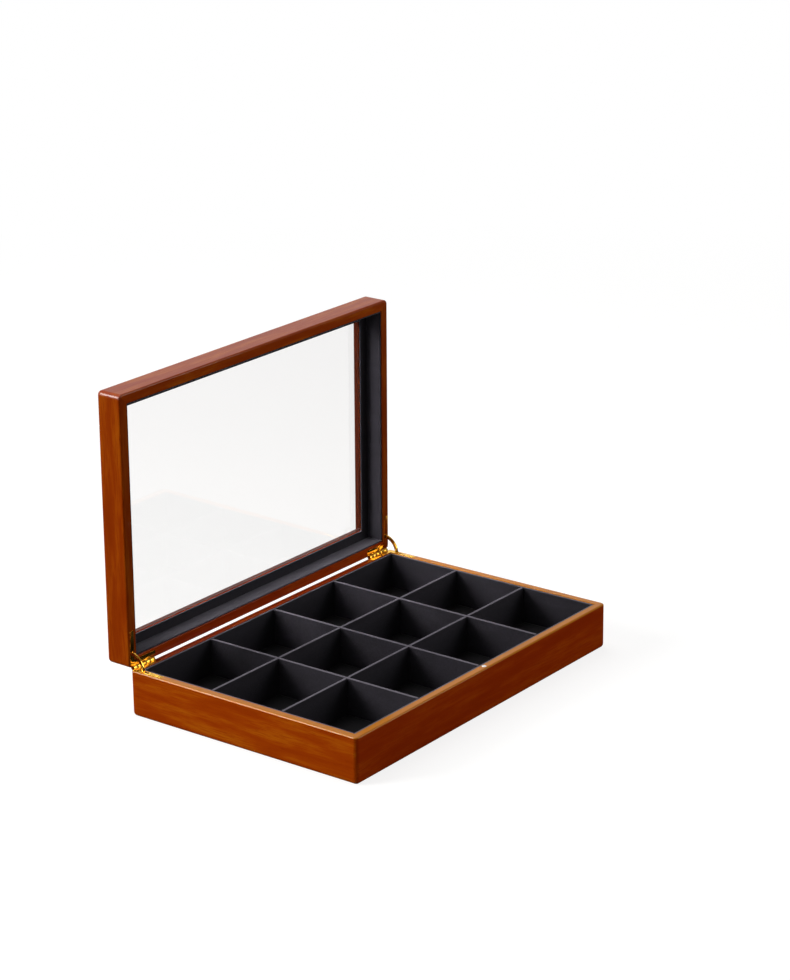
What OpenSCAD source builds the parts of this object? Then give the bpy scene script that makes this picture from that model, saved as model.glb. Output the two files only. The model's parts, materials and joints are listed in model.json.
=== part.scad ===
// Ring display box: a wooden case with twelve lined compartments and a glazed lid that stands open
// on two corner hinges with sliding stay arms. Millimetres, +Z up, +X along the hinge side, front at -Y.
// The origin is the centre of the underside. The lid is drawn standing open, as the case is displayed.

/* [Case] */
// Width of the case, along the hinge side
box_w = 320; // [200:1:420]
// Depth of the case, front to back
box_d = 214; // [150:1:320]
// Height of the base, up to its rim
base_h = 37; // [32:0.5:70]
// Height of the lid, from its rim to its top
lid_h = 22.7; // [20:0.1:50]
// Gap between the two rims when the lid is shut
seam_gap = 0.3; // [0.2:0.05:1]
// Thickness of the base's wooden walls
wall_t = 6; // [6:0.1:9]
// Thickness of the lid's wooden walls, which have a thinner lining
lid_wall_t = 8; // [6:0.1:9]
// Radius of the four upright outer corners
corner_r = 3.5; // [2.5:0.1:6]
// Radius of the outer edges at the underside and the top
edge_r = 3.5; // [1:0.1:4]
// Radius of the outer edges at the two rims
rim_r = 1.4; // [0.5:0.1:2.5]
// Radius that breaks the sharp inner edges of the wood
arris_r = 0.4; // [0.1:0.05:0.8]

/* [Bottom] */
// Thickness of the bottom panel
panel_t = 3; // [2:0.1:5]
// Depth of the groove that holds the bottom panel
groove_d = 2; // [1:0.1:2.5]
// Thickness of the felt under the bottom panel
felt_t = 2; // [1:0.1:3]

/* [Lining] */
// Thickness of the covered lining boards in the base
board_t = 2; // [1.5:0.1:3]
// Thickness of the covered lining boards in the lid
lid_board_t = 1; // [0.8:0.1:2.5]
// How far the lining and the dividers stay below the rim
lining_drop = 0.5; // [0.3:0.1:4]
// Thickness of the padded compartment floor
pad_t = 2; // [1:0.1:4]
// Thickness of the covered dividers
divider_t = 2.4; // [1.6:0.1:4]
// Clearance between covered boards and what they stand against
board_fit = 0.1; // [0.05:0.05:0.3]

/* [Window] */
// Width of the wooden frame round the glass, from the outer face
frame_w = 17; // [13:0.5:28]
// Thickness of that frame
frame_t = 4.5; // [3.5:0.1:8]
// Thickness of the glass
glass_t = 2; // [1.5:0.1:3]
// Clearance round the edge of the glass
glass_fit = 0.5; // [0.2:0.1:1]
// Thickness of the strips that hold the glass up against the frame
strip_t = 1.5; // [1:0.1:3]
// How far those strips stay behind the inner edge of the frame
strip_back = 0.3; // [0:0.1:2.5]

/* [Catch] */
// Diameter of the two catch magnets
magnet_d = 4; // [3:0.5:4]
// Thickness of the disc magnet in the base's front rim
magnet_t = 2; // [1:0.5:4]
// Distance from the front face to the middle of that magnet
magnet_inset = 3.6; // [3:0.1:3.9]
// Length of the rod magnet that lies hidden in the lid's front wall
rod_len = 5; // [3:0.5:5]
// Wood that covers the rod magnet at the lid's rim
rod_cover = 0.8; // [0.5:0.1:2]
// Clearance of a magnet in its hole
magnet_fit = 0.05; // [0.02:0.01:0.1]

/* [Hinges] */
// Angle at which the lid stands open, in degrees
open_angle = 89.5; // [75:0.5:95]
// How far the pin lies behind the back face
pin_offset = 0.5; // [0.2:0.1:0.9]
// Diameter of the hinge pin
pin_d = 1.6; // [1:0.1:1.8]
// Radial clearance of the pin in the knuckles
pin_fit = 0.05; // [0.03:0.01:0.08]
// Outer diameter of the rolled knuckles
barrel_d = 3.4; // [3:0.1:3.8]
// Gap between neighbouring knuckles, and between a knuckle and the other leaf
knuckle_gap = 0.25; // [0.15:0.05:0.4]
// Clearance of the barrel in the wood
barrel_fit = 0.4; // [0.3:0.05:0.6]
// Distance from the side face to the start of the barrel
barrel_start = 3.5; // [2.5:0.5:5]
// Thickness of the leaves, which are let in flush with the rims
leaf_t = 1; // [0.8:0.05:1.4]
// Length of each leg of a leaf, from the outer corner
leaf_leg = 29; // [27:0.5:40]
// Distance from the outer face to the edge of a side leg
leaf_margin = 1.2; // [1:0.1:1.3]
// Width of a side leg
leaf_w = 4.6; // [4.4:0.1:4.7]
// Clearance of a leaf in its recess
leaf_fit = 0.1; // [0.05:0.05:0.2]

/* [Stays] */
// Radius of the curved stay arm, along its middle line
stay_r = 13; // [12:0.25:18]
// Width of the stay arm
stay_w = 2.6; // [1.6:0.1:2.8]
// Thickness of the stay arm
stay_t = 1.2; // [0.8:0.05:1.3]
// Distance from the pin to the pivot of the stay, along the lid's side
pivot_reach = 12; // [11:0.25:14]
// Depth of the pivot of the stay inside the lid, from the rim
pivot_depth = 2.35; // [2.2:0.05:3]
// Radius of the stay arm's round head
head_r = 1.5; // [1.3:0.1:1.8]
// Distance from the pin to where the open stay passes the base's rim
stay_reach = 10.8; // [10:0.1:13]
// How much the stay turns on its pivot for each degree of the lid
stay_ratio = 0.4; // [0.35:0.01:0.5]
// Clearance of the stay arm in its slots
stay_fit = 0.15; // [0.1:0.05:0.2]
// Radius of the cross foot that stops the stay under the base leaf
foot_r = 0.5; // [0.4:0.05:0.6]
// Length of the cross foot
foot_len = 2.6; // [2.4:0.1:2.8]
// Clearance of the stay in the pockets in the wood
pocket_fit = 0.2; // [0.15:0.05:0.3]
// Diameter of the rivet at the stay's pivot
rivet_d = 1.2; // [0.8:0.1:1.4]
// Radial clearance of that rivet
rivet_fit = 0.03; // [0.02:0.01:0.06]
// Thickness of the rivet's head
rivet_head_t = 0.35; // [0.2:0.05:0.4]
// Thickness of the ear that holds the rivet
ear_t = 0.75; // [0.6:0.05:0.9]

/* [Screws] */
// Diameter of the screws' shanks
screw_d = 1.8; // [1.4:0.1:2.2]
// Diameter of the screws' flat heads
screw_head_d = 3.6; // [3:0.1:4]
// Length of the screws
screw_len = 8; // [6:0.5:12]
// Width of the cross recess in each screw head
recess_w = 0.5; // [0.3:0.05:0.6]
// Clearance round a screw
screw_fit = 0.05; // [0.02:0.01:0.1]
// Distance from a leg's end to its end screw
screw_inset = 3.5; // [2.5:0.1:5]

/* [Hidden] */

// The case has four compartments along its width and three along its depth
cells_wide = 4;
cells_deep = 3;
// Curves and a length that takes a cut past a face
ROUND = 72;
PAST = 1;

// Heights, with the lid shut
lid_z = base_h + seam_gap;
lid_top = lid_z + lid_h;
pad_z = felt_t + panel_t;
cell_z = pad_z + pad_t;
lining_top = base_h - lining_drop;
glass_top = lid_top - frame_t;
strip_z = glass_top - glass_t - strip_t;
lid_wall_h = lid_h - frame_t;

// Radii that the wood can hold
edge_cut = min(edge_r, corner_r, frame_t - arris_r);
rim_cut = min(rim_r, corner_r);

// Spaces inside the wooden walls and inside the lining
inner_w = box_w - 2 * wall_t;
inner_d = box_d - 2 * wall_t;
cell_area_w = inner_w - 2 * (board_t + board_fit);
cell_area_d = inner_d - 2 * (board_t + board_fit);
lid_inset = lid_wall_t + board_fit;
cell_pitch_w = cell_area_w / cells_wide;
cell_pitch_d = cell_area_d / cells_deep;
divider_h = lining_top - cell_z;

// The hinge pin's line, halfway between the rims
pin_y = box_d / 2 + pin_offset;
pin_z = base_h + seam_gap / 2;
half_gap = seam_gap / 2;

// Hinge leaves, measured inwards from the side face and the back face
rear_edge = barrel_d / 2 - pin_offset + knuckle_gap;
leg_inner = leaf_margin + leaf_w;
leg_middle = leaf_margin + leaf_w / 2;
barrel_end = leaf_leg - barrel_start / 2;
knuckles = 5;
knuckle_pitch = (barrel_end - barrel_start) / knuckles;
screw_end = leaf_leg - screw_inset;
screw_mid = (leg_inner + screw_end) / 2;
screw_spots = [[screw_end, leg_middle], [screw_mid, leg_middle], [leg_middle, screw_end]];
screw_head_h = leaf_t - screw_fit;

// The stay's plane is seen from its side: u runs forwards from the pin and v upwards
function turned(p, a) = [p.x * cos(a) - p.y * sin(a), p.x * sin(a) + p.y * cos(a)];
function along(c, r, a) = [c.x + r * cos(a), c.y + r * sin(a)];
pivot_shut = [pivot_reach, half_gap + pivot_depth];
pivot_open = turned(pivot_shut, open_angle);
stay_pass = [stay_reach, -half_gap];
stay_chord = stay_pass - pivot_open;
chord_len = norm(stay_chord);
chord_rise = sqrt(stay_r * stay_r - chord_len * chord_len / 4);
stay_centre = (pivot_open + stay_pass) / 2 + chord_rise * [stay_chord.y, -stay_chord.x] / chord_len;
head_angle = atan2(pivot_open.y - stay_centre.y, pivot_open.x - stay_centre.x);
foot_v = -half_gap - leaf_t - stay_fit - foot_r;
foot_angle = asin((foot_v - stay_centre.y) / stay_r);
foot_open = along(stay_centre, stay_r, foot_angle);

// Points of the stay at steps of the closing lid, seen from the base and from the lid
steps = 30;
stay_ring = [for (i = [0 : steps], s = [-1, 1])
  along(stay_centre, stay_r + s * stay_w / 2, foot_angle + (head_angle - foot_angle) * i / steps)];
foot_ring = [for (a = [0 : 30 : 330]) along(foot_open, foot_r, a)];
head_ring = [for (a = [0 : 30 : 330]) along(pivot_open, head_r, a)];
stay_points = concat(stay_ring, foot_ring, head_ring);
function at_lid(p, shut) =
  turned(pivot_open, -shut) + turned(p - pivot_open, -shut * (1 - stay_ratio));
seen_from_base = [for (i = [0 : steps], p = stay_points) at_lid(p, open_angle * i / steps)];
seen_from_lid = [for (i = [0 : steps], p = stay_points)
  turned(at_lid(p, open_angle * i / steps), -open_angle * (1 - i / steps))];
below_rim = [for (p = seen_from_base) if (p.y < 0) p];
in_base_leaf = [for (p = seen_from_base) if (p.y < 0 && p.y > -half_gap - leaf_t - stay_fit) p];
above_rim = [for (p = seen_from_lid) if (p.y > 0) p];
in_lid_leaf = [for (p = seen_from_lid) if (p.y > 0 && p.y < half_gap + leaf_t + stay_fit) p];
function lowest(points, i) = min([for (p = points) p[i]]);
function highest(points, i) = max([for (p = points) p[i]]);

wood = "sienna";
cloth = [0.14, 0.13, 0.15];
gold = "goldenrod";
steel = "silver";

// Removes the outside of a rounded corner; the corner is at the origin, the shape lies towards +X +Y
module corner_off(r) {
  difference() {
    translate([-PAST, -PAST]) square(r + PAST);
    translate([r, r]) circle(r = r, $fn = ROUND);
  }
}

// Profile of a base rail: x runs inwards from the outer face, y upwards
module base_rail_profile() {
  difference() {
    square([wall_t, base_h]);
    corner_off(edge_cut);
    translate([0, base_h]) rotate(-90) corner_off(rim_cut);
    translate([wall_t, base_h]) rotate(180) corner_off(arris_r);
    translate([wall_t - groove_d, felt_t]) square([groove_d + PAST, panel_t + board_fit]);
  }
}

// Profile of a lid wall, up to the frame that lies on it
module lid_wall_profile() {
  difference() {
    square([lid_wall_t, lid_wall_h]);
    corner_off(rim_cut);
    translate([lid_wall_t, 0]) rotate(90) corner_off(arris_r);
  }
}

// Profile of the frame round the glass
module top_frame_profile() {
  difference() {
    square([frame_w, frame_t]);
    translate([0, frame_t]) rotate(-90) corner_off(edge_cut);
    translate([frame_w, frame_t]) rotate(180) corner_off(arris_r);
    translate([frame_w, 0]) rotate(90) corner_off(arris_r);
  }
}

// Lays a profile along X, with its outer face at y = 0, and mitres both ends round an outer corner radius.
// The profile keeps its whole depth between the heights in full; there a core ties the corners on.
module mitred_stick(length, depth, height, corner, full) {
  flat = length / 2 - corner;
  core_h = (full[1] - full[0]) / 2;
  intersection() {
    rotate([90, 0, 90]) linear_extrude(height = 2 * flat, center = true) children();
    linear_extrude(height = height)
      polygon([[-length / 2 - PAST, -PAST], [length / 2 + PAST, -PAST], [length / 2 - depth, depth],
        [depth - length / 2, depth]]);
  }
  if (corner > 0) {
    for (end = [0, 1])
      mirror([end, 0, 0]) translate([flat, corner, 0]) {
        rotate([0, 0, -90]) rotate_extrude(angle = 45, $fn = ROUND) intersection() {
          translate([corner, 0]) mirror([1, 0]) children();
          square([corner, height]);
        }
        translate([0, -corner / 2, (full[0] + full[1]) / 2])
          cube([corner / 2, corner / 4, core_h], center = true);
      }
  }
}

// Puts what is drawn from an outer face at y = 0 on one side of the case; inset moves it inwards
function turn_of(side) = side == "front" ? 0 : side == "right" ? 90 : side == "back" ? 180 : -90;
function across(side) = side == "front" || side == "back" ? box_d : box_w;
function span(side) = side == "front" || side == "back" ? box_w : box_d;
module at_side(side, inset = 0) {
  rotate([0, 0, turn_of(side)]) translate([0, inset - across(side) / 2, 0]) children();
}

// Opens what is drawn in the shut lid
module opened() {
  translate([0, pin_y, pin_z]) rotate([-open_angle, 0, 0]) translate([0, -pin_y, -pin_z]) children();
}

// What is drawn for the left hinge, on the left or on the right
module on_hinge(side) {
  mirror([side == "left" ? 0 : 1, 0, 0]) children();
}

// What is drawn for the base's half of a hinge, for the base or, mirrored at the seam, for the shut lid
module on_half(half) {
  if (half == "base")
    children();
  else
    translate([0, 0, 2 * pin_z]) mirror([0, 0, 1]) children();
}

// Plan of the left leaf, in distances inwards from the side face and the back face
module leaf_plan(grow) {
  translate([leaf_margin - grow, rear_edge - grow])
    square([leaf_leg - leaf_margin + 2 * grow, leg_inner - rear_edge + 2 * grow]);
  translate([leaf_margin - grow, rear_edge - grow])
    square([leaf_w + 2 * grow, leaf_leg - rear_edge + 2 * grow]);
}
module from_left_corner() {
  translate([-box_w / 2, box_d / 2, 0]) mirror([0, 1, 0]) children();
}

// A cylinder along X on the pin's line, between two distances from the left face
module on_pin_line(from, to, r) {
  translate([from - box_w / 2, pin_y, pin_z]) rotate([0, 90, 0]) cylinder(r = r, h = to - from, $fn = ROUND);
}

// Faces the stay's plane: x of what is drawn is u, y is v, and z is centred on the stay
module in_stay_plane() {
  translate([leg_middle - box_w / 2, pin_y, pin_z]) rotate([90, 0, -90]) children();
}

// A straight-sided slot or pocket in the stay's plane, centred on the stay
module stay_hole(low, high, width) {
  in_stay_plane() translate([low.x, low.y, -width / 2]) cube([high.x - low.x, high.y - low.y, width]);
}

// Screw, with its head's top at the base's rim
module hinge_screw(grow) {
  translate([0, 0, base_h - screw_len]) cylinder(d = screw_d + 2 * grow, h = screw_len - screw_fit, $fn = 24);
  translate([0, 0, base_h - screw_fit - screw_head_h])
    cylinder(d1 = screw_d + 2 * grow, d2 = screw_head_d + 2 * grow, h = screw_head_h, $fn = 36);
}
module cross_recess() {
  for (a = [0, 90])
    translate([0, 0, base_h]) rotate([0, 0, a])
      cube([screw_head_d * 0.6, recess_w, screw_head_h], center = true);
}
module left_screws(grow) {
  from_left_corner() for (p = screw_spots) translate([p.x, p.y, 0]) hinge_screw(grow);
}
module left_recesses() {
  from_left_corner() for (p = screw_spots) translate([p.x, p.y, 0]) cross_recess();
}

// Recess for the left leaf, with the groove for the barrel and the screws' holes, in the base's wood
module leaf_recess() {
  from_left_corner() translate([0, 0, base_h - leaf_t]) linear_extrude(height = leaf_t + PAST) {
    leaf_plan(leaf_fit);
    translate([barrel_start - knuckle_gap, -PAST])
      square([barrel_end - barrel_start + 2 * knuckle_gap, leg_inner + PAST]);
  }
  on_pin_line(barrel_start - knuckle_gap, barrel_end + knuckle_gap, barrel_d / 2 + barrel_fit);
  left_screws(screw_fit);
}

// Pocket in the base's side rail that takes the stay when the lid is shut
module base_pocket() {
  stay_hole([lowest(below_rim, 0) - pocket_fit, lowest(below_rim, 1) - pocket_fit],
    [highest(below_rim, 0) + pocket_fit, PAST], foot_len + 2 * pocket_fit);
}

// Pocket in the lid's side wall for the stay's head, its rivet and the ear
module lid_pocket() {
  stay_hole([lowest(above_rim, 0) - pocket_fit, -PAST],
    [highest(above_rim, 0) + pocket_fit, highest(above_rim, 1) + pocket_fit],
    2 * (stay_t / 2 + stay_fit + ear_t + pocket_fit));
}

// The left leaf as the base has it: plate, its own knuckles and their bore
module leaf(own) {
  difference() {
    union() {
      from_left_corner() translate([0, 0, base_h - leaf_t]) linear_extrude(height = leaf_t) {
        leaf_plan(0);
        for (k = own)
          translate([barrel_start + k * knuckle_pitch, -pin_offset])
            square([knuckle_pitch - knuckle_gap, rear_edge + pin_offset + leaf_fit]);
      }
      for (k = own)
        on_pin_line(barrel_start + k * knuckle_pitch, barrel_start + (k + 1) * knuckle_pitch - knuckle_gap,
          barrel_d / 2);
    }
    on_pin_line(0, leaf_leg, pin_d / 2 + pin_fit);
    left_screws(screw_fit);
  }
}

// One rail of the base with its panel groove
module base_rail(side) {
  color(wood) at_side(side)
    mitred_stick(span(side), wall_t, base_h, corner_r, [edge_cut, base_h - rim_cut]) base_rail_profile();
}
module base_front_rail() {
  color(wood) difference() {
    base_rail("front");
    disc_magnet(magnet_fit, PAST);
  }
}
module base_back_rail() {
  color(wood) difference() {
    base_rail("back");
    on_hinge("left") leaf_recess();
    on_hinge("right") leaf_recess();
  }
}
module base_side_rail(side) {
  color(wood) difference() {
    base_rail(side);
    on_hinge(side) leaf_recess();
    on_hinge(side) base_pocket();
  }
}

module base_panel() {
  reach = 2 * (groove_d - board_fit);
  color("burlywood") translate([0, 0, felt_t + panel_t / 2])
    cube([inner_w + reach, inner_d + reach, panel_t], center = true);
}
module base_felt() {
  color("darkslategray") translate([0, 0, felt_t / 2])
    cube([inner_w - 2 * board_fit, inner_d - 2 * board_fit, felt_t], center = true);
}
module floor_pad() {
  color(cloth) translate([0, 0, pad_z + pad_t / 2])
    cube([inner_w - 2 * board_fit, inner_d - 2 * board_fit, pad_t], center = true);
}

// A covered lining board on one side; the side boards stand between the front and back ones
module lining_board(side, inset, thickness, low, high) {
  ends = side == "front" || side == "back" ? inset : inset + thickness + board_fit;
  length = span(side) - 2 * ends;
  color(cloth) at_side(side, inset) translate([-length / 2, 0, low])
    cube([length, thickness, high - low]);
}
module base_liner(side) { lining_board(side, wall_t + board_fit, board_t, cell_z, lining_top); }
module lid_liner(side) { opened() lining_board(side, lid_inset, lid_board_t, lid_z + lining_drop, strip_z); }

// Dividers: the long ones are notched from above and the cross ones from below, and they lock together
notch_w = divider_t + 2 * board_fit;
notch_h = divider_h / 2 + board_fit;
function cross_x(i) = (i - cells_wide / 2) * cell_pitch_w;
function long_y(i) = (i - cells_deep / 2) * cell_pitch_d;
module long_divider(i) {
  length = cell_area_w - 2 * board_fit;
  color(cloth) difference() {
    translate([-length / 2, long_y(i) - divider_t / 2, cell_z]) cube([length, divider_t, divider_h]);
    for (j = [1 : cells_wide - 1])
      translate([cross_x(j) - notch_w / 2, long_y(i) - divider_t, lining_top - notch_h])
        cube([notch_w, 2 * divider_t, notch_h + PAST]);
  }
}
module cross_divider(j) {
  length = cell_area_d - 2 * board_fit;
  color(cloth) difference() {
    translate([cross_x(j) - divider_t / 2, -length / 2, cell_z]) cube([divider_t, length, divider_h]);
    for (i = [1 : cells_deep - 1])
      translate([cross_x(j) - divider_t, long_y(i) - notch_w / 2, cell_z - PAST])
        cube([2 * divider_t, notch_w, notch_h + PAST]);
  }
}

// The disc magnet in the middle of the base's front rim, or its hole
module disc_magnet(grow, past) {
  translate([0, magnet_inset - box_d / 2, base_h - magnet_t])
    cylinder(d = magnet_d + 2 * grow, h = magnet_t + past, $fn = ROUND);
}
module base_magnet() { color(steel) disc_magnet(0, 0); }

// The rod magnet over it, put into the lid's front wall from inside, or its bore
module rod_magnet(grow, past) {
  translate([0, lid_wall_t - box_d / 2 + past, lid_z + rod_cover + magnet_d / 2]) rotate([90, 0, 0])
    cylinder(d = magnet_d + 2 * grow, h = rod_len + past, $fn = ROUND);
}
module lid_magnet() { color(steel) opened() rod_magnet(0, 0); }

// Lid walls, drawn shut and then opened
module lid_wall(side) {
  at_side(side) translate([0, 0, lid_z])
    mitred_stick(span(side), lid_wall_t, lid_wall_h, corner_r, [rim_cut, lid_wall_h]) lid_wall_profile();
}
module lid_front_wall() {
  color(wood) opened() difference() {
    lid_wall("front");
    rod_magnet(magnet_fit, PAST);
  }
}
module lid_back_wall() {
  color(wood) opened() difference() {
    lid_wall("back");
    on_half("lid") {
      on_hinge("left") leaf_recess();
      on_hinge("right") leaf_recess();
    }
  }
}
module lid_side_wall(side) {
  color(wood) opened() difference() {
    lid_wall(side);
    on_half("lid") on_hinge(side) leaf_recess();
    on_hinge(side) lid_pocket();
  }
}
module top_frame(side) {
  color(wood) opened() at_side(side) translate([0, 0, glass_top])
    mitred_stick(span(side), frame_w, frame_t, corner_r, [0, frame_t - edge_cut]) top_frame_profile();
}

module lid_glass() {
  glass_inset = lid_wall_t + glass_fit;
  color([0.9, 0.95, 0.95, 0.3]) opened() translate([0, 0, glass_top - glass_t / 2])
    cube([box_w - 2 * glass_inset, box_d - 2 * glass_inset, glass_t], center = true);
}

// Covered strips that hold the glass up against the frame
module glass_strip(side) {
  strip_w = frame_w - strip_back - lid_inset;
  color(cloth) opened() at_side(side, lid_inset) translate([0, 0, strip_z])
    mitred_stick(span(side) - 2 * lid_inset, strip_w, strip_t, 0, [0, strip_t])
      square([strip_w, strip_t]);
}

// Hinge leaves: the base leaf has the odd knuckles and the slot that the stay slides through
module base_leaf(side) {
  color(gold) on_hinge(side) difference() {
    leaf([0, 2, 4]);
    stay_hole([lowest(in_base_leaf, 0) - stay_fit, -half_gap - leaf_t - PAST],
      [highest(in_base_leaf, 0) + stay_fit, PAST], stay_t + 2 * stay_fit);
  }
}

// The lid leaf has the even knuckles, a slot and a bent ear with the rivet's hole
module lid_leaf(side) {
  ear_z = stay_t / 2 + stay_fit;
  color(gold) opened() on_hinge(side) difference() {
    union() {
      difference() {
        on_half("lid") leaf([1, 3]);
        stay_hole([lowest(in_lid_leaf, 0) - stay_fit, -PAST],
          [highest(in_lid_leaf, 0) + stay_fit, half_gap + leaf_t + PAST], stay_t + 2 * stay_fit);
      }
      in_stay_plane() translate([0, 0, -ear_z - ear_t]) linear_extrude(height = ear_t) {
        translate([pivot_shut.x - head_r, half_gap + leaf_t - leaf_fit])
          square([2 * head_r, pivot_depth - leaf_t + leaf_fit]);
        translate(pivot_shut) circle(r = head_r, $fn = ROUND);
      }
    }
    in_stay_plane() translate([pivot_shut.x, pivot_shut.y, -ear_z - ear_t - PAST])
      cylinder(d = rivet_d + 2 * rivet_fit, h = ear_t + 2 * PAST, $fn = ROUND);
  }
}

module hinge_pin(side) {
  color(gold) on_hinge(side) on_pin_line(barrel_start, barrel_end - knuckle_gap, pin_d / 2);
}

// Stay arm: a curved strip with a round head on the rivet and a cross foot under the base leaf
module stay_arm(side) {
  color(gold) on_hinge(side) in_stay_plane() difference() {
    union() {
      translate([stay_centre.x, stay_centre.y, -stay_t / 2]) rotate([0, 0, foot_angle])
        rotate_extrude(angle = head_angle - foot_angle, $fn = ROUND)
          translate([stay_r - stay_w / 2, 0]) square([stay_w, stay_t]);
      translate([pivot_open.x, pivot_open.y, -stay_t / 2]) cylinder(r = head_r, h = stay_t, $fn = ROUND);
      translate([foot_open.x, foot_open.y, -foot_len / 2]) cylinder(r = foot_r, h = foot_len, $fn = ROUND);
    }
    translate([pivot_open.x, pivot_open.y, -stay_t])
      cylinder(d = rivet_d + 2 * rivet_fit, h = 2 * stay_t, $fn = ROUND);
  }
}

// Rivet through the stay's head and the ear
module stay_rivet(side) {
  head_z = stay_t / 2 + rivet_fit;
  color(gold) opened() on_hinge(side) in_stay_plane() translate([pivot_shut.x, pivot_shut.y, 0]) {
    translate([0, 0, -stay_t / 2 - stay_fit - ear_t])
      cylinder(d = rivet_d, h = stay_t / 2 + stay_fit + ear_t + head_z, $fn = ROUND);
    translate([0, 0, head_z]) cylinder(r = head_r - rivet_head_t, h = rivet_head_t, $fn = ROUND);
  }
}

module screws(half) {
  for (side = ["left", "right"])
    on_half(half) on_hinge(side) difference() {
      left_screws(0);
      left_recesses();
    }
}
module base_hinge_screws() { color(gold) screws("base"); }
module lid_hinge_screws() { color(gold) opened() screws("lid"); }

base_front_rail();
base_back_rail();
base_side_rail("left");  // base_left_rail
base_side_rail("right");  // base_right_rail
base_panel();
base_felt();
floor_pad();
base_liner("front");  // base_liner_front
base_liner("back");  // base_liner_back
base_liner("left");  // base_liner_left
base_liner("right");  // base_liner_right
long_divider(1);  // long_divider_front
long_divider(2);  // long_divider_rear
cross_divider(1);  // cross_divider_left
cross_divider(2);  // cross_divider_middle
cross_divider(3);  // cross_divider_right
lid_front_wall();
lid_back_wall();
lid_side_wall("left");  // lid_left_wall
lid_side_wall("right");  // lid_right_wall
top_frame("front");  // top_frame_front
top_frame("back");  // top_frame_back
top_frame("left");  // top_frame_left
top_frame("right");  // top_frame_right
lid_glass();
glass_strip("front");  // glass_strip_front
glass_strip("back");  // glass_strip_back
glass_strip("left");  // glass_strip_left
glass_strip("right");  // glass_strip_right
lid_liner("front");  // lid_liner_front
lid_liner("back");  // lid_liner_back
lid_liner("left");  // lid_liner_left
lid_liner("right");  // lid_liner_right
base_magnet();
lid_magnet();
base_leaf("left");  // left_base_leaf
lid_leaf("left");  // left_lid_leaf
hinge_pin("left");  // left_hinge_pin
stay_arm("left");  // left_stay_arm
stay_rivet("left");  // left_stay_rivet
base_leaf("right");  // right_base_leaf
lid_leaf("right");  // right_lid_leaf
hinge_pin("right");  // right_hinge_pin
stay_arm("right");  // right_stay_arm
stay_rivet("right");  // right_stay_rivet
base_hinge_screws();
lid_hinge_screws();
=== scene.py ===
# %% [markdown]
# # A wooden ring display box, dressed for its photograph
#
# The box is a small piece of joinery: a lacquered wooden base with twelve lined compartments, and
# a glazed lid that stands open on two brass corner hinges. The measured model comes first, and
# every surface and soft cover below is fitted to it. The wood and the glass keep their measured
# shapes and only need a finish. The hinges get slightly broken edges, and everything that is
# wrapped in cloth gets a new, softer shape.

# %% The measured box
import json
from math import pi, radians

import bmesh
import bpy
import numpy as np
from mathutils import Matrix, Vector

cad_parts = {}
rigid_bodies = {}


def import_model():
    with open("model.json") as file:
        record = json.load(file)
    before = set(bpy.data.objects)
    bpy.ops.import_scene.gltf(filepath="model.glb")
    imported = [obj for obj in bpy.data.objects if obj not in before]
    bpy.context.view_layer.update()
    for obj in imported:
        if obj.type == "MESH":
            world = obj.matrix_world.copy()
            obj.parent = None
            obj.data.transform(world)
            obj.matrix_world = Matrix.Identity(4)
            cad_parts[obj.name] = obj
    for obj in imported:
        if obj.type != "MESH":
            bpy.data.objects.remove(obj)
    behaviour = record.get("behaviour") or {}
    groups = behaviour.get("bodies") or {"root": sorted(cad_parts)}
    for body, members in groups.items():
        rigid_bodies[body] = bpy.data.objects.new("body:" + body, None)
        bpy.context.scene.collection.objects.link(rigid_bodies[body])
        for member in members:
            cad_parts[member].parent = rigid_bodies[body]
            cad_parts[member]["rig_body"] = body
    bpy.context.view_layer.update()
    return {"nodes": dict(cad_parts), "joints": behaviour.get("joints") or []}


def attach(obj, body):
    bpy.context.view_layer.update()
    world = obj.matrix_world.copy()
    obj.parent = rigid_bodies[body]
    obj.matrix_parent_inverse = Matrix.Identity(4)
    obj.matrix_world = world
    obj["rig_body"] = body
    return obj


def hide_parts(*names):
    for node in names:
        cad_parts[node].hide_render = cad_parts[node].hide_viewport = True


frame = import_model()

MM = 0.001
print("pieces in the measured box:", len(frame["nodes"]))

# %% [markdown]
# ## The lid, drawn shut
#
# The lid stands open at rest, so its pieces lie at a slant. They are easiest to work out as they
# lie in the shut lid, square to the case, and to turn open at the end. The hinge in the record
# says where the pin is and how far the lid turns.

# %% Turning the lid
hinge = next(joint for joint in frame["joints"] if joint["name"] == "lid_hinge")
pin = np.array(hinge["pos_m"])
open_angle = radians(hinge["range_deg"][1])


def turn_lid(points, angle):
    """Points turned about the hinge pin, which runs along X: y and z are rotated by the angle."""
    y, z = (points[:, 1] - pin[1], points[:, 2] - pin[2])
    turned_y = y * np.cos(angle) - z * np.sin(angle)
    turned_z = y * np.sin(angle) + z * np.cos(angle)
    return np.column_stack([points[:, 0], pin[1] + turned_y, pin[2] + turned_z])


def corners_of(node):
    """Lowest and highest corner of a measured piece, with the lid's pieces turned shut."""
    mesh = frame["nodes"][node].data
    points = np.empty(len(mesh.vertices) * 3)
    mesh.vertices.foreach_get("co", points)
    points = points.reshape(-1, 3)
    if frame["nodes"][node]["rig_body"] == "lid":
        points = turn_lid(points, open_angle)
    return points.min(axis=0), points.max(axis=0)


print("the lid opens", round(hinge["range_deg"][1], 1), "degrees about", pin.round(4))

# %% [markdown]
# ## Adding nodes, and colours as they are written
#
# A material is a small network. One function adds a node with its settings, and gives each of its
# inputs a value or the output that feeds it. Colours are written as they look on a screen, and one
# function turns them into the linear light values that the renderer works with. Most patterns are
# noise. Its values lie mostly between 0.3 and 0.7, so a range between those picks out a share of
# it.

# %% Helpers for materials


def linear(colour):
    """A screen colour such as 8a4a1c as linear red, green, blue and alpha."""
    screen = np.array([int(colour[i : i + 2], 16) / 255 for i in (0, 2, 4)])
    light = np.where(screen <= 0.04045, screen / 12.92, ((screen + 0.055) / 1.055) ** 2.4)
    return (*light.tolist(), 1.0)


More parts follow.
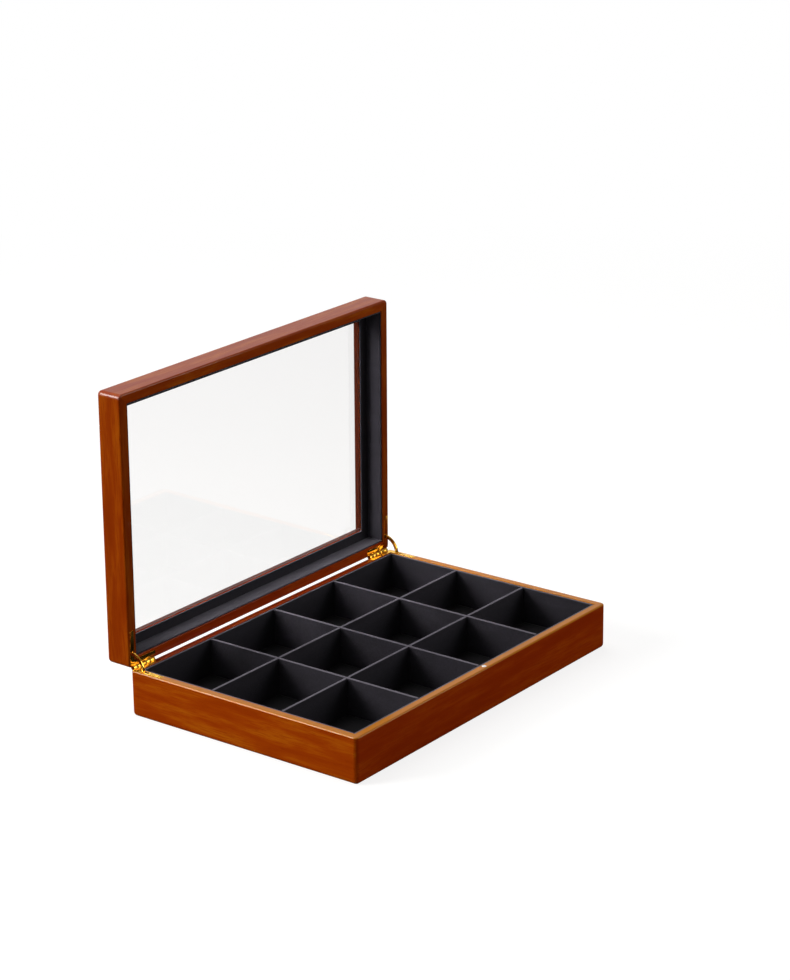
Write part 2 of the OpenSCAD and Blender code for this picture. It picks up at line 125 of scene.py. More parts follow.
def add(owner, kind, inputs=None, **settings):
    """Add a node. Settings are its own, and each input gets a value or the output that feeds it."""
    tree = owner.node_tree
    made = tree.nodes.new(kind)
    for name, value in settings.items():
        setattr(made, name, value)
    for name, value in (inputs or {}).items():
        if isinstance(value, bpy.types.NodeSocket):
            tree.links.new(value, made.inputs[name])
        else:
            made.inputs[name].default_value = value
    return made


def new_material(name):
    """An empty material with its output node."""
    material = bpy.data.materials.new(name)
    material.use_nodes = True
    material.node_tree.nodes.clear()
    return material, add(material, "ShaderNodeOutputMaterial")


def show(material, output, shader):
    """Link a shader to the material's output."""
    material.node_tree.links.new(shader.outputs[0], output.inputs["Surface"])
    print("material:", material.name, "with", len(material.node_tree.nodes), "nodes")
    return material


def pattern(material, size, turn=(0, 0, 0), detail=2.0, distortion=0.0, rough=0.5):
    """Noise whose patches have a real size: one length in millimetres, or three for X, Y and Z."""
    place = add(material, "ShaderNodeTexCoord").outputs["Object"]
    lengths = (np.broadcast_to(size, 3) * MM).tolist()
    scaled = add(
        material,
        "ShaderNodeMapping",
        {"Vector": place, "Rotation": turn, "Scale": lengths},
        vector_type="TEXTURE",
    )
    noise = add(
        material,
        "ShaderNodeTexNoise",
        {
            "Vector": scaled.outputs["Vector"],
            "Scale": 1.0,
            "Detail": detail,
            "Roughness": rough,
            "Distortion": distortion,
        },
    )
    return noise.outputs["Fac"]


def position(owner, axis, source="Object"):
    """One coordinate, in metres, on a piece whose object stands at the origin."""
    place = add(owner, "ShaderNodeTexCoord").outputs[source]
    return add(owner, "ShaderNodeSeparateXYZ", {"Vector": place}).outputs[axis]


def combined(owner, how, first, second):
    """Two values, each a number or an output, put together by one step of arithmetic."""
    return add(owner, "ShaderNodeMath", {0: first, 1: second}, operation=how).outputs[0]


def blend_colours(material, factor, first, second):
    """A colour between two others; each is a linear colour or an output."""
    inputs = {0: factor, 6: first, 7: second}
    return add(material, "ShaderNodeMix", inputs, data_type="RGBA").outputs[2]


def spread(owner, value, low, high, to_low=0.0, to_high=1.0):
    """A value stretched from one range to another, and held inside it."""
    ranges = {"From Min": low, "From Max": high, "To Min": to_low, "To Max": to_high}
    return add(owner, "ShaderNodeMapRange", {"Value": value, **ranges}).outputs["Result"]


def bumps(material, *heights):
    """A surface normal from several heights, each an output and its real depth in millimetres."""
    normal = None
    for height, depth in heights:
        inputs = {"Height": height, "Strength": 1.0, "Distance": depth * MM}
        if normal is not None:
            inputs["Normal"] = normal
        normal = add(material, "ShaderNodeBump", inputs).outputs["Normal"]
    return normal


# %% [markdown]
# ## Stained and lacquered wood
#
# The rails are a hardwood, stained orange-brown and sprayed with lacquer. Three things make it
# read as wood: soft blotches of figure, fine short streaks along the grain and dark pores. The
# clear lacquer is a second, smoother skin over the stain, which is what a shader's coat is for.
# The base's rims get a golden tone at their top and rounded edge, a painted highlight for the
# light that falls there, and the frame's inner edges round the glass get dark painted shade. The
# grain always runs along a rail, so the wood is made anew for each direction. The stain comes in
# lit and shaded copies: a redder one on the front rail and the back pieces, and a darker one on
# the lid's sides, are painted shade.

# %% The wood
ORANGE_STAIN = [linear(tone) for tone in ("8a3000", "983e02", "a45206")]
# Darker copy of the stain for the lid's sides: painted shade
SHADED_LID_STAIN = [linear(tone) for tone in ("7a2800", "883402", "944404")]
# Redder copy of the stain for the front rail and the back pieces: painted shade
SHADED_RED_STAIN = [linear(tone) for tone in ("8c2800", "983202", "a03e04")]
PORE = linear("4a1600")
# Golden painted highlight on the top and rounding of the base's rims
PAINTED_RIM_LIGHT = linear("b26a06")
# Dark painted shade on the frame's inner edges at the window
PAINTED_WINDOW_SHADE = linear("4a1c0c")
RIM_RADIUS = 1.4 * MM
# The painted shade on the frame's inner edges ends between these two distances from the window
SHADE_STARTS, SHADE_ENDS = 0.2 * MM, 0.4 * MM
# Length along the grain and width across it, in millimetres. Real pores are about 0.1 mm wide;
# they are drawn 0.35 mm wide so that they show
FIGURE = (60, 7)
STREAKS = (14, 0.6)
PORES = (6, 0.35)
PORE_DEPTH = 0.01
LACQUER_RIPPLE = 4
RIPPLE_DEPTH = 0.02
# Stain alone hardly shines, and amber where it does. The lacquer gives the crisp reflections
LACQUER = {
    "Specular IOR Level": 0.06,
    "Specular Tint": linear("e08a30"),
    "Coat Weight": 0.15,
    "Coat Roughness": 0.07,
    "Coat IOR": 2.0,
}


def along(direction, length, width):
    """Size of a pattern that is long in one of the three directions and narrow in the others."""
    size = [width] * 3
    size[direction] = length
    return size


def window_opening():
    """Half width, middle height and half height of the opening in the standing lid's frame."""
    nodes = frame["nodes"]
    low = max(corner[2] for corner in nodes["top_frame_back"].bound_box)
    high = min(corner[2] for corner in nodes["top_frame_front"].bound_box)
    half = min(corner[0] for corner in nodes["top_frame_right"].bound_box)
    return half, (low + high) / 2, (high - low) / 2


def window_shade_mask(material):
    """1 on the frame's inner edges, which lie at the opening, and 0 elsewhere: where shade is
    painted.
    """
    half_width, middle, half_height = window_opening()
    sideways = combined(material, "ABSOLUTE", position(material, "X"), 0.0)
    upward = combined(material, "SUBTRACT", position(material, "Z"), middle)
    upward = combined(material, "ABSOLUTE", upward, 0.0)
    in_width = spread(material, sideways, half_width + SHADE_ENDS, half_width + SHADE_STARTS)
    in_height = spread(material, upward, half_height + SHADE_ENDS, half_height + SHADE_STARTS)
    return combined(material, "MULTIPLY", in_width, in_height)


def stained_wood(name, direction, stain, turn=(0, 0, 0), rim=None):
    """Lacquered stained wood with its grain along one direction; a golden painted highlight at the
    rim's top, or, with no rim, painted shade on the frame's edges at the window.
    """
    material, output = new_material(name)
    dark, middle, light = stain
    figure = pattern(material, along(direction, *FIGURE), turn, detail=4, distortion=0.2)
    streaks = pattern(material, along(direction, *STREAKS), turn, detail=3)
    pores = pattern(material, along(direction, *PORES), turn, detail=1)
    colour = blend_colours(material, spread(material, figure, 0.34, 0.54), dark, middle)
    colour = blend_colours(material, spread(material, figure, 0.48, 0.7), colour, light)
    dark_streaks = spread(material, streaks, 0.46, 0.66, 0.0, 0.85)
    colour = blend_colours(material, dark_streaks, colour, dark)
    pits = spread(material, pores, 0.62, 0.72)
    colour = blend_colours(material, spread(material, pores, 0.62, 0.76, 0.0, 0.3), colour, PORE)
    if rim is None:
        # Painted shade on the frame's inner edges round the glass
        colour = blend_colours(material, window_shade_mask(material), colour, PAINTED_WINDOW_SHADE)
    else:
        # Painted highlight: the rim's top and rounding turn golden, for the light that falls there
        height = position(material, "Z")
        lit_rim = spread(material, height, rim - RIM_RADIUS, rim - 0.5 * RIM_RADIUS)
        colour = blend_colours(material, lit_rim, colour, PAINTED_RIM_LIGHT)
    ripple = pattern(material, LACQUER_RIPPLE, detail=1)
    inputs = {
        **LACQUER,
        "Base Color": colour,
        "Roughness": spread(material, streaks, 0.3, 0.7, 0.3, 0.4),
        "Normal": bumps(material, (ripple, RIPPLE_DEPTH), (pits, -PORE_DEPTH)),
    }
    return show(material, output, add(material, "ShaderNodeBsdfPrincipled", inputs))


rim_height = float(corners_of("base_front_rail")[1][2])
SLANT = (open_angle, 0, 0)
FRONT_RAIL = stained_wood("stained_wood_front_rail", 0, SHADED_RED_STAIN, rim=rim_height)
SIDE_RAIL = stained_wood("stained_wood_side_rails", 1, ORANGE_STAIN, rim=rim_height)
ALONG_WIDTH = stained_wood("stained_wood_along_width", 0, SHADED_RED_STAIN)
LID_FRONT = stained_wood("stained_wood_lid_front", 0, ORANGE_STAIN)
LID_SIDE = stained_wood("stained_wood_lid_sides", 1, SHADED_LID_STAIN, turn=SLANT)

# %% [markdown]
# ## Charcoal microfibre
#
# The lining is a thin suede-like cloth glued round boards. It is nearly black, slightly violet,
# and its short nap catches light at a flat angle, which a sheen layer gives. The nap itself is
# finer than a pixel, so its bumps are drawn 0.5 mm apart, and slow patches show where the nap was
# brushed. The pad on the floor is near black, painted shade, so the compartments end in black.
# Over the narrow top edges of the base's boards the cloth is painted paler, a painted highlight
# for the light that falls on those tops.

# %% The cloth
CHARCOAL = (linear("1a181c"), linear("2d2a31"))
# Near black for the floor pad: painted shade at the bottom of the compartments
PAINTED_SHADE_BLACK = (linear("070608"), linear("100e11"))
PAINTED_TOP_SHEEN = linear("58545c")
# Below the boards' tops, the painted highlight starts and is full at these depths
SHEEN_STARTS, SHEEN_FULL = 0.4 * MM, 0.1 * MM
NAP = 0.5
NAP_DEPTH = 0.06
BRUSHED = (22, 22, 9)
SUEDE = {
    "Roughness": 0.95,
    "Specular IOR Level": 0.2,
    "Sheen Roughness": 0.35,
    "Sheen Tint": linear("cfc8d6"),
}


def microfibre(name, nap_colours, sheen, edge=None):
    """Brushed cloth with a short nap; above the edge's height it gets a paler painted highlight."""
    material, output = new_material(name)
    dark, light = nap_colours
    nap = pattern(material, NAP)
    brushed = pattern(material, BRUSHED)
    colour = blend_colours(material, spread(material, nap, 0.3, 0.7), dark, light)
    colour = blend_colours(material, spread(material, brushed, 0.4, 0.7, 0.0, 0.4), colour, dark)
    if edge is not None:
        # Painted highlight: paler cloth on the boards' top edges, where light falls
        height = position(material, "Z")
        sheen_on_top = spread(material, height, edge - SHEEN_STARTS, edge - SHEEN_FULL)
        colour = blend_colours(material, sheen_on_top, colour, PAINTED_TOP_SHEEN)
    inputs = {
        **SUEDE,
        "Sheen Weight": sheen,
        "Base Color": colour,
        "Normal": bumps(material, (nap, NAP_DEPTH)),
    }
    return show(material, output, add(material, "ShaderNodeBsdfPrincipled", inputs))


board_top = float(corners_of("base_liner_front")[1][2])
LINING = microfibre("charcoal_microfibre", CHARCOAL, 0.6)
BOARD_LINING = microfibre("charcoal_microfibre_on_boards", CHARCOAL, 0.35, edge=board_top)
# The floor pad's cloth, near black as painted shade
FLOOR_SHADE_CLOTH = microfibre("floor_pad_painted_shade", PAINTED_SHADE_BLACK, 0.1)

# %% [markdown]
# ## Brass and nickel
#
# The hinges are stamped brass, polished and lacquered. The screws are paler brass and shine more
# softly, and the magnets are nickel plated. Polished metal mostly mirrors the room, so only slow
# waves and faint rubbing marks break it up. A metal's own colour tints what it mirrors, and its
# refraction is left at the usual value.

# %% Brass and nickel
# Real sizes and depths in millimetres
WAVES = 1.6
WAVE_DEPTH = 0.05
RUBBED = (6, 0.4, 0.4)
RUB_DEPTH = 0.006
TARNISH = 5
RUBBED_DULLER = 0.1


def polished_metal(name, colour, darker, rough):
    """Polished metal, a little wavy, with faint rubbing marks that are a little duller."""
    material, output = new_material(name)
    waves = pattern(material, WAVES, detail=1)
    rubbed = pattern(material, RUBBED)
    tarnish = pattern(material, TARNISH)
    tone = blend_colours(
        material, spread(material, tarnish, 0.35, 0.75), linear(colour), linear(darker)
    )
    inputs = {
        "Metallic": 1.0,
        "Base Color": tone,
        "Roughness": spread(material, rubbed, 0.3, 0.7, rough, rough + RUBBED_DULLER),
        "Normal": bumps(material, (waves, WAVE_DEPTH), (rubbed, RUB_DEPTH)),
    }
    return show(material, output, add(material, "ShaderNodeBsdfPrincipled", inputs))


BRASS = polished_metal("polished_hinge_brass", "f2c14e", "cf922a", 0.1)
SCREW = polished_metal("plain_brass_screws", "f7dd9c", "dcb764", 0.35)
NICKEL = polished_metal("plated_nickel", "dedbd5", "c2beb7", 0.18)

# %% [markdown]
# ## Glass, felt and plywood
#
# The pane is plain float glass: light from the lamps has to pass it, so for shadow rays it is
# simply clear. The felt under the case is pressed wool, matt and tangled. The bottom panel is
# birch plywood, left plain because nothing but the felt and the pad ever touches it.

# %% Glass, felt and plywood
# Real sizes and depths in millimetres
WOOL_FIBRES = 1.0
WOOL_DEPTH = 0.25
BIRCH_FIGURE = (180, 9, 9)


def clear_glass(name):
    """Float glass that lets the lamps' light through."""
    material, output = new_material(name)
    tone = {"Base Color": linear("f8f8f8"), "Roughness": 0.0, "IOR": 1.52}
    glass = add(material, "ShaderNodeBsdfPrincipled", {**tone, "Transmission Weight": 1.0})
    clear = add(material, "ShaderNodeBsdfTransparent")
    shadow = add(material, "ShaderNodeLightPath").outputs["Is Shadow Ray"]
    inputs = {0: shadow, 1: glass.outputs[0], 2: clear.outputs[0]}
    return show(material, output, add(material, "ShaderNodeMixShader", inputs))


def pressed_felt(name):
    """Thick wool felt with tangled fibres about 1 mm apart."""
    material, output = new_material(name)
    fibres = pattern(material, WOOL_FIBRES, detail=4, distortion=1.0, rough=0.7)
    inputs = {
        "Roughness": 1.0,
        "Specular IOR Level": 0.1,
        "Sheen Weight": 0.3,
        "Base Color": blend_colours(
            material, spread(material, fibres, 0.35, 0.7), linear("17181a"), linear("33353a")
        ),
        "Normal": bumps(material, (fibres, WOOL_DEPTH)),
    }
    return show(material, output, add(material, "ShaderNodeBsdfPrincipled", inputs))


def plywood(name):
    """Plain birch plywood for the bottom panel."""
    material, output = new_material(name)
    figure = pattern(material, BIRCH_FIGURE, detail=3, distortion=0.6)
    colour = blend_colours(
        material, spread(material, figure, 0.35, 0.7), linear("c39a63"), linear("dcb985")
    )
    inputs = {"Roughness": 0.7, "Base Color": colour}
    return show(material, output, add(material, "ShaderNodeBsdfPrincipled", inputs))


GLASS = clear_glass("float_glass")
FELT = pressed_felt("pressed_wool_felt")
PLYWOOD = plywood("birch_plywood")

# %% [markdown]
# ## Finishing the measured pieces
#
# The wood, the pane and the small turned metal pieces already have their true shapes, so each only
# gets its finish. The grain follows the length of each rail.

# %% Finish for each measured piece


def finish(material, *nodes):
    """Give measured pieces a material."""
    for node in nodes:
        frame["nodes"][node].material_slots[0].material = material
    print(material.name, "on", ", ".join(nodes))


SIDES = ("left", "right")
ENDS = ("front", "back")
for end, wood in zip(ENDS, (LID_FRONT, ALONG_WIDTH)):
    finish(wood, f"lid_{end}_wall", f"top_frame_{end}")
for side in SIDES:
    finish(SIDE_RAIL, f"base_{side}_rail")
    finish(LID_SIDE, f"lid_{side}_wall", f"top_frame_{side}")
    finish(BRASS, f"{side}_hinge_pin", f"{side}_stay_rivet")
finish(FRONT_RAIL, "base_front_rail")
finish(ALONG_WIDTH, "base_back_rail")
finish(SCREW, "base_hinge_screws", "lid_hinge_screws")
finish(NICKEL, "lid_magnet")
finish(GLASS, "lid_glass")
finish(PLYWOOD, "base_panel")

# %% [markdown]
# ## New pieces that stand for measured ones
#
# Every piece below is a new mesh in place of one measured node. It rides on the node's own body,
# so that it moves with the lid or the base, and its object stays at the origin, with its place in
# the mesh.

# %% Putting a new piece in place
# Edges that turn by more than this are rounded
SHARP = radians(30)


def put_in_scene(name, data):
    """An object for a mesh, a lamp or a camera."""
    made = bpy.data.objects.new(name, data)
    bpy.context.scene.collection.objects.link(made)
    return made


def dressed(mesh, node, material):
    """Object for a new mesh, which rides on a measured piece's body and stands for that piece."""
    mesh.shade_smooth()
    mesh.materials.append(material)
    piece = put_in_scene(mesh.name, mesh)
    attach(piece, frame["nodes"][node]["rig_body"])
    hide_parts(node)
    print(piece.name, "has", len(mesh.polygons), "faces")
    return piece


def new_piece(name, points, faces, node, material, slot="lining_microfibre"):
    """A new piece from points and faces."""
    mesh = bpy.data.meshes.new(name)
    mesh.from_pydata(points.tolist(), [], faces)
    mesh.update()
    return dressed(mesh, node, material)


def soften(piece, width, limit="ANGLE"):
    """Round a piece's edges, or only its marked ones, with a bevel of a width in millimetres."""
    bevel = piece.modifiers.new("soft_edges", "BEVEL")
    bevel.width = width * MM
    bevel.segments = 3
    bevel.limit_method = limit
    bevel.angle_limit = SHARP
    bevel.harden_normals = True
    return piece


# %% [markdown]
# ## Pieces that are wrapped in cloth
#
# A board with cloth glued round it has soft edges. Its surface is that of a smaller box grown by
# the radius of the edge: each point is pushed out from the smaller box along its own direction.
# The directions come from a grid over a cube, spaced by equal angles, so the eight corners and
# twelve edges are evenly round and the faces stay flat.

# %% A box with round edges
EDGE_STEPS = 5


def grid_quads(index):
    """The four corners of each cell in a grid of point numbers, all turning the same way."""
    corners = (index[:-1, :-1], index[1:, :-1], index[1:, 1:], index[:-1, 1:])
    return np.stack(corners, axis=-1).reshape(-1, 4)


def cube_directions(steps):
    """Directions and signs on a cube's six faces, as grids that share the cube's edges.

    Along each grid line the angle runs from -45 to 0 degrees and again from 0 to 45, so the two
    zeros carry different signs and open up into the flat faces.
    """
    angle = np.linspace(0, pi / 4, steps + 1)
    slope = np.concatenate([-np.tan(angle[::-1]), np.tan(angle)])
    sign = np.concatenate([-np.ones(steps + 1), np.ones(steps + 1)])
    first, second = np.meshgrid(slope, slope, indexing="ij")
    first_sign, second_sign = np.meshgrid(sign, sign, indexing="ij")
    ones = np.ones_like(first)
    directions, signs, quads = [], [], []
    quad = grid_quads(np.arange(first.size).reshape(first.shape))
    for axis in range(3):
        for face in (-1, 1):
            order = [(axis + 1) % 3, (axis + 2) % 3, axis]
            direction = np.empty((first.size, 3))
            outward = np.empty((first.size, 3))
            for column, value, side in zip(
                order, (first, second, ones * face), (first_sign, second_sign, ones * face)
            ):
                direction[:, column] = value.ravel()
                outward[:, column] = side.ravel()
            corners = quad if face > 0 else quad[:, ::-1]
            quads.append(corners + len(directions) * first.size)
            directions.append(direction)
            signs.append(outward)
    directions = np.concatenate(directions)
    directions /= np.linalg.norm(directions, axis=1, keepdims=True)
    return directions, np.concatenate(signs), np.concatenate(quads)


def covered_box(low, high, radius):
    """Rounded box: sign times the shrunk half size, plus the radius in millimetres along the
    direction."""
    direction, sign, quads = cube_directions(EDGE_STEPS)
    half = (high - low) / 2
    points = (low + high) / 2 + sign * (half - radius * MM) + radius * MM * direction
    return points, quads


def merged(points, quads):
    """Points that lie in one place become one, and faces that lost a corner or all width are
    dropped."""
    _, first, back = np.unique(points.round(8), axis=0, return_index=True, return_inverse=True)
    faces = []
    for quad in back.reshape(-1)[quads]:
        loop = list(dict.fromkeys(quad.tolist()))
        if len(loop) > 2:
            faces.append(loop)
    return points[first], faces


# %% Covered boards
BOARD_EDGE = 0.7


def covered_board(node, cloth):
    """Cover for one measured board."""
    points, quads = covered_box(*corners_of(node), BOARD_EDGE)
    if frame["nodes"][node]["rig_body"] == "lid":
        points = turn_lid(points, -open_angle)
    points, faces = merged(points, quads)
    return new_piece(f"{node}_cover", points, faces, node, cloth)


for place in ENDS + SIDES:
    covered_board(f"base_liner_{place}", BOARD_LINING)
    covered_board(f"lid_liner_{place}", LINING)

# %% [markdown]
# ## Dividers
#
# The dividers are covered boards too, but each has notches, open at the top in the long ones and
# at the bottom in the cross ones, so that they slide into each other. An outline with the notches
# is given the board's thickness, and a bevel rounds every edge as the cloth does.

# %% Dividers with notches
NOTCH_ROOM = 0.1 * MM


def notched_outline(length, low, high, places, width, depth, from_below):
    """Outline in a divider's plane, anticlockwise, with a notch at each place along its length."""
    edge = low if from_below else high
    inner = low + depth if from_below else high - depth
    notch = [
        point
        for place in places
        for point in (
            (place - width / 2, edge),
            (place - width / 2, inner),
            (place + width / 2, inner),
            (place + width / 2, edge),
        )
    ]
    ends = [(-length / 2, low), (length / 2, low), (length / 2, high), (-length / 2, high)]
    if from_below:
        return [ends[0], *notch, *ends[1:]]
    return [*ends[:3], *notch[::-1], ends[3]]


def slab(outline, low, high, axis):
    """Closed slab: an outline in the two other directions, swept along one axis between two
    heights."""
    flat = np.array(outline)
    count = len(flat)
    points = np.empty((2 * count, 3))
    others = [(axis + 1) % 3, (axis + 2) % 3]
    points[:, others] = np.concatenate([flat, flat])
    points[:count, axis] = low
    points[count:, axis] = high
    near = np.arange(count)
    after = np.roll(near, -1)
    walls = np.stack([near, after, after + count, near + count], axis=1).tolist()
    return points, [near[::-1].tolist(), (near + count).tolist(), *walls]


# %% Cutting and placing the dividers
DIVIDER_EDGE = 0.6
CROSS = [f"cross_divider_{place}" for place in ("left", "middle", "right")]
LONG = [f"long_divider_{place}" for place in ("front", "rear")]


def middle_of(node, axis):
    """Middle of a measured piece along one axis."""
    low, high = corners_of(node)
    return (low[axis] + high[axis]) / 2


def divider(node, run, crossing):
    """Covered divider that runs along X (0) or Y (1), notched where the crossing ones pass."""
    low, high = corners_of(node)
    across = 1 - run
    centre = (low + high) / 2
    places = [middle_of(other, run) - centre[run] for other in crossing]
    notch_width = high[across] - low[across] + 2 * NOTCH_ROOM
    notch_depth = (high[2] - low[2]) / 2 + NOTCH_ROOM
    length = high[run] - low[run]
    outline = notched_outline(length, low[2], high[2], places, notch_width, notch_depth, run == 1)
    if run == 0:
        outline = [(up, side) for side, up in outline][::-1]
    points, faces = slab(outline, low[across], high[across], across)
    points[:, run] += centre[run]
    return soften(new_piece(f"{node}_cover", points, faces, node, BOARD_LINING), DIVIDER_EDGE)


for node in CROSS:
    divider(node, 1, LONG)
for node in LONG:
    divider(node, 0, CROSS)

# %% [markdown]
# ## Broken edges on the metal
#
# No stamped part has a perfectly sharp edge, and the thin bright lines along its edges are what
# the eye looks for. The leaves, the stays and the base's magnet are copied, their flat faces are
# joined up, and a very small bevel breaks the outer edges. Inner corners stay as they are, because
# a bevel there would add metal where the stays pass.

# %% Copies with broken edges
SAME_PLACE = 0.0005 * MM
SAME_PLANE = radians(0.5)
HINGE_EDGE = 0.12
MAGNET_EDGE = 0.3


def eased(node, width, material):
    """Copy of a measured metal piece whose sharp outer edges are broken.

    Corners in the same place are merged, faces in the same plane are joined, and outer edges that
    turn by more than the sharp angle are marked for the bevel.
    """
    work = bmesh.new()
    work.from_mesh(frame["nodes"][node].data)
    bmesh.ops.remove_doubles(work, verts=work.verts[:], dist=SAME_PLACE)
    bmesh.ops.dissolve_limit(
        work, angle_limit=SAME_PLANE, verts=work.verts[:], edges=work.edges[:]
    )
    mark = work.edges.layers.float.new("bevel_weight_edge")
    for edge in work.edges:
        edge[mark] = float(edge.is_convex and edge.calc_face_angle(0.0) > SHARP)
    mesh = bpy.data.meshes.new(f"{node}_polished")
    work.to_mesh(mesh)
    work.free()
    return soften(dressed(mesh, node, material), width, "WEIGHT")


for side in SIDES:
    for part in ("base_leaf", "lid_leaf", "stay_arm"):
        eased(f"{side}_{part}", HINGE_EDGE, BRASS)
eased("base_magnet", MAGNET_EDGE, NICKEL)

# %% [markdown]
# ## Padded floor
#
# One thin pad lies under all the dividers. Where a divider stands on it, it is pressed flat, and
# in each compartment it swells a little. Its height is a product of two curves that are zero along
# the dividers and nearly full in the middle.

# %% The floor pad
PAD_CROWN = 0.8 * MM
PAD_STEPS = 10


def swell(place, lines):
    """0 on each line and 1 between them: one minus the fourth power of the distance from the
    middle."""
    low = lines[:-1][:, None]
    high = lines[1:][:, None]
    share = (place[None, :] - low) / (high - low)
    inside = (share >= 0) & (share <= 1)
    return np.where(inside, 1 - np.abs(2 * share - 1) ** 4, 0).max(axis=0)


def pad_lines(axis, first_board, last_board, dividers):
    """Places along one axis where the pad is held down: at two boards and under the dividers."""
    start = corners_of(first_board)[1][axis]
    end = corners_of(last_board)[0][axis]
    return np.array([start, *(middle_of(node, axis) for node in dividers), end])


def floor_pad():
    """Closed pad: its top stands at the pad's height plus the crown times the swell along X times
    the swell along Y, and its bottom and sides are flat."""
    low, high = corners_of("floor_pad")
    lines_x = pad_lines(0, "base_liner_left", "base_liner_right", CROSS)
    lines_y = pad_lines(1, "base_liner_front", "base_liner_back", LONG)
    steps = np.linspace(0, 1, PAD_STEPS, endpoint=False)
    grid = []
    for axis, lines in enumerate((lines_x, lines_y)):
        between = (lines[:-1, None] + np.diff(lines)[:, None] * steps).ravel()
        grid.append(np.concatenate([[low[axis]], between, [lines[-1], high[axis]]]))
    x, y = np.meshgrid(grid[0], grid[1], indexing="ij")
    crown = PAD_CROWN * swell(grid[0], lines_x)[:, None] * swell(grid[1], lines_y)[None, :]
    top = np.stack([x, y, high[2] + crown], axis=-1).reshape(-1, 3)
    bottom = np.stack([x, y, np.full_like(x, low[2])], axis=-1).reshape(-1, 3)
    index = np.arange(x.size).reshape(x.shape)
    quads = grid_quads(index)
    rim = np.concatenate([index[:-1, 0], index[-1, :-1], index[:0:-1, -1], index[0, :0:-1]])
    after = np.roll(rim, -1)
    skirt = np.stack([rim + x.size, after + x.size, after, rim], axis=1)
    faces = np.concatenate([quads, quads[:, ::-1] + x.size, skirt]).tolist()
    return np.concatenate([top, bottom]), faces


pad = new_piece("floor_pad_cover", *floor_pad(), "floor_pad", FLOOR_SHADE_CLOTH)

# %% [markdown]
# ## Strips round the glass, and the felt
#
# Four covered strips hold the pane against its frame. They meet in mitres, so each is a slab with
# slanted ends. The felt under the case is one flat sheet.

# %% Strips round the glass
STRIP_EDGE = 0.4


def glass_strip(place):
    """Covered strip on one side of the pane, laid out in the shut lid.

    For a mitre of 45 degrees, its inner edge is shorter at each end by the strip's own width.
    """
    node = f"glass_strip_{place}"
    low, high = corners_of(node)
    if place in ENDS:
        inner, outer = (high[1], low[1]) if place == "front" else (low[1], high[1])
        cut = high[1] - low[1]
        ends = [(high[0] - cut, inner), (low[0] + cut, inner)]
        outline = [(low[0], outer), (high[0], outer), *ends]
    else:
        inner, outer = (high[0], low[0]) if place == "left" else (low[0], high[0])
        cut = high[0] - low[0]
        ends = [(inner, high[1] - cut), (inner, low[1] + cut)]
        outline = [(outer, low[1]), (outer, high[1]), *ends]
    corners = np.array(outline)
    ahead = np.roll(corners, -1, axis=0)
    if (corners[:, 0] * ahead[:, 1] - ahead[:, 0] * corners[:, 1]).sum() < 0:
        corners = corners[::-1]
    points, faces = slab(corners, low[2], high[2], 2)
    points = turn_lid(points, -open_angle)
    return soften(new_piece(f"{node}_cover", points, faces, node, LINING), STRIP_EDGE)


for place in ENDS + SIDES:
    glass_strip(place)

# %% The felt
FELT_EDGE = 0.5
low, high = corners_of("base_felt")
points, faces = merged(*covered_box(low, high, FELT_EDGE))
felt = new_piece("base_felt_sheet", points, faces, "base_felt", FELT, "base_felt")
print("the felt is", ((high - low) / MM).round(1), "mm")

# %% [markdown]
# ## Floor
#
# The case stands on a plain white floor that runs out of sight. The floor keeps the soft shadow
# that shows where the case stands, and fades to plain white further out. Near the case, mirrors
# see a glowing dark brown instead, a painted reflection of wood, so that lacquer and brass keep
# their depth.

# %% The floor
WHITE = linear("ffffff")
FLOOR_GREY = linear("8b8a88")
# Brown that mirrors see near the case: a painted reflection
PAINTED_REFLECTION_BROWN = linear("8a4010")
BROWN_LEVEL = 0.4
NEAR_GLOW = 0.83
# Distances from the case in metres
FLOOR_REACH = 12.0
WHITE_FROM, WHITE_AT = 0.5, 1.5
BROWN_UNTIL, BROWN_GONE = 1.0, 1.5


def ray_kinds(owner):
    """Two outputs that are 1 or 0: for rays that see things, and for those that come off a mirror.

    Rays through clear glass count as mirror rays in the renderer too, so they are taken out.
    """
    ray = add(owner, "ShaderNodeLightPath").outputs
    through = combined(owner, "MAXIMUM", ray["Is Camera Ray"], ray["Is Transmission Ray"])
    seen = combined(owner, "MAXIMUM", through, ray["Is Glossy Ray"])
    return seen, combined(owner, "SUBTRACT", seen, through)


def white_floor():
    """White floor with a shadow near the case, where mirrors see a painted brown reflection."""
    material, output = new_material("white_floor")
    place = add(material, "ShaderNodeTexCoord").outputs["Object"]
    measure = add(material, "ShaderNodeVectorMath", {0: place}, operation="LENGTH")
    distance = measure.outputs["Value"]
    far = spread(material, distance, WHITE_FROM, WHITE_AT)
    level = spread(material, far, 0.0, 1.0, NEAR_GLOW, 1.0)
    seen, mirrored = ray_kinds(material)
    strength = combined(material, "MULTIPLY", seen, level)
    glow = add(material, "ShaderNodeEmission", {"Color": WHITE, "Strength": strength})
    grey = blend_colours(material, far, FLOOR_GREY, linear("000000"))
    matt = add(material, "ShaderNodeBsdfDiffuse", {"Color": grey})
    both = add(material, "ShaderNodeAddShader", {0: matt.outputs[0], 1: glow.outputs[0]})
    # Near the case mirrors see a brown glow: a painted reflection
    inside = spread(material, distance, BROWN_UNTIL, BROWN_GONE, 1.0, 0.0)
    card = combined(material, "MULTIPLY", mirrored, inside)
    brown = add(material, "ShaderNodeEmission", {"Color": PAINTED_REFLECTION_BROWN, "Strength": BROWN_LEVEL})
    inputs = {0: card, 1: both.outputs[0], 2: brown.outputs[0]}
    return show(material, output, add(material, "ShaderNodeMixShader", inputs))


